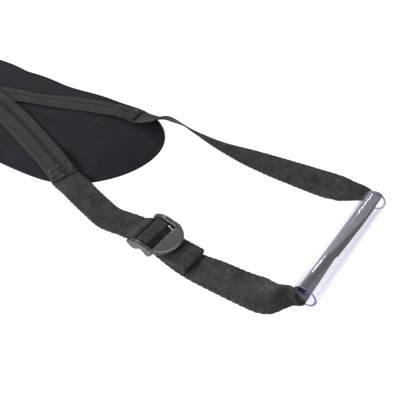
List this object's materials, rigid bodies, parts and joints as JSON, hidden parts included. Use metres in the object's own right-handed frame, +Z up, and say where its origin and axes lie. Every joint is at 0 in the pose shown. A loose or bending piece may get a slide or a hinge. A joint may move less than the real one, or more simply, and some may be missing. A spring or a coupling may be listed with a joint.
{
  "type": "padded strap sling",
  "caption": "Contoured padded belt with crossed elastic bands and, at each end, an adjustable webbing loop with a tab ladder lock and a clear tube grip.",
  "frame": {"origin": "middle of the pad's length on its flat underside, on the line midway between the pad's edges there", "axes": "+X along the pad towards the right-hand grip, +Y across it away from the buckles, +Z up out of the padded face"},
  "size_m": [1.2208, 0.2276, 0.0318],
  "materials": {
    "foam": "matte",
    "cover": "matte brushed jersey",
    "thread": "twisted thread",
    "elastic": "ribbed knit",
    "webbing": "woven",
    "buckle": "satin",
    "tube": "clear flexible plastic"
  },
  "bodies": {
    "pad": {"pad_core": "foam", "top_cover": "cover", "bottom_cover": "cover", "edge_stitching": "thread", "elastic_over": "elastic", "elastic_under": "elastic", "centre_stitching": "thread"},
    "lap_right": {"lap_stitching_right": "thread"},
    "loop_right": {"buckle_strap_right": "webbing", "strap_stitching_right": "thread", "far_webbing_right": "webbing", "near_webbing_right": "webbing"},
    "buckle_right": {"buckle_right": "buckle", "webbing_wrap_right": "webbing"},
    "grip_webbing_right": {"grip_webbing_right": "webbing"},
    "tail_right": {"tail_right": "webbing", "tail_stitching_right": "thread"},
    "grip_tube_right": {"grip_tube_right": "tube"},
    "lap_left": {"lap_stitching_left": "thread"},
    "loop_left": {"buckle_strap_left": "webbing", "strap_stitching_left": "thread", "far_webbing_left": "webbing", "near_webbing_left": "webbing"},
    "buckle_left": {"buckle_left": "buckle", "webbing_wrap_left": "webbing"},
    "grip_webbing_left": {"grip_webbing_left": "webbing"},
    "tail_left": {"tail_left": "webbing", "tail_stitching_left": "thread"},
    "grip_tube_left": {"grip_tube_left": "tube"}
  },
  "joints": [
    {"name": "elastic_stretch_right", "type": "slide", "parent": "pad", "child": "lap_right", "axis": [1, 0, 0], "range_m": [0, 0.06], "deforming": ["elastic_over", "elastic_under"]},
    {"name": "loop_swing_right", "type": "hinge", "parent": "lap_right", "child": "loop_right", "pos_m": [0.246, 0, 0.0115], "axis": [0, -1, 0], "range_deg": [0, 120], "deforming": ["buckle_strap_right", "far_webbing_right", "near_webbing_right"]},
    {"name": "buckle_tilt_right", "type": "hinge", "parent": "loop_right", "child": "buckle_right", "pos_m": [0.383, -0.086, 0.0076], "axis": [-0.1045, -0.9945, 0], "range_deg": [0, 50], "deforming": ["near_webbing_right", "buckle_strap_right"]},
    {"name": "grip_adjust_right", "type": "slide", "parent": "loop_right", "child": "grip_webbing_right", "axis": [1, 0, 0], "range_m": [-0.03, 0.01], "deforming": ["near_webbing_right", "far_webbing_right"]},
    {"name": "tail_feed_right", "type": "slide", "parent": "buckle_right", "child": "tail_right", "axis": [0.9945, -0.1045, 0], "range_m": [-0.02, 0.06], "deforming": ["tail_right"]},
    {"name": "grip_spin_right", "type": "hinge", "parent": "grip_webbing_right", "child": "grip_tube_right", "pos_m": [0.5868, 0.0095, 0.0135], "axis": [0.1184, 0.993, 0], "continuous": true},
    {"name": "elastic_stretch_left", "type": "slide", "parent": "pad", "child": "lap_left", "axis": [-1, 0, 0], "range_m": [0, 0.06], "deforming": ["elastic_over", "elastic_under"]},
    {"name": "loop_swing_left", "type": "hinge", "parent": "lap_left", "child": "loop_left", "pos_m": [-0.246, 0, 0.0115], "axis": [0, 1, 0], "range_deg": [0, 120], "deforming": ["buckle_strap_left", "far_webbing_left", "near_webbing_left"]},
    {"name": "buckle_tilt_left", "type": "hinge", "parent": "loop_left", "child": "buckle_left", "pos_m": [-0.383, -0.086, 0.0076], "axis": [-0.1045, 0.9945, 0], "range_deg": [0, 50], "deforming": ["near_webbing_left", "buckle_strap_left"]},
    {"name": "grip_adjust_left", "type": "slide", "parent": "loop_left", "child": "grip_webbing_left", "axis": [-1, 0, 0], "range_m": [-0.03, 0.01], "deforming": ["near_webbing_left", "far_webbing_left"]},
    {"name": "tail_feed_left", "type": "slide", "parent": "buckle_left", "child": "tail_left", "axis": [-0.9945, -0.1045, 0], "range_m": [-0.02, 0.06], "deforming": ["tail_left"]},
    {"name": "grip_spin_left", "type": "hinge", "parent": "grip_webbing_left", "child": "grip_tube_left", "pos_m": [-0.5868, 0.0095, 0.0135], "axis": [-0.1184, 0.993, 0], "continuous": true}
  ],
  "couplings": [
    {"joint": "tail_feed_right", "follows": "grip_adjust_right", "ratio": -2},
    {"joint": "tail_feed_left", "follows": "grip_adjust_left", "ratio": -2}
  ]
}
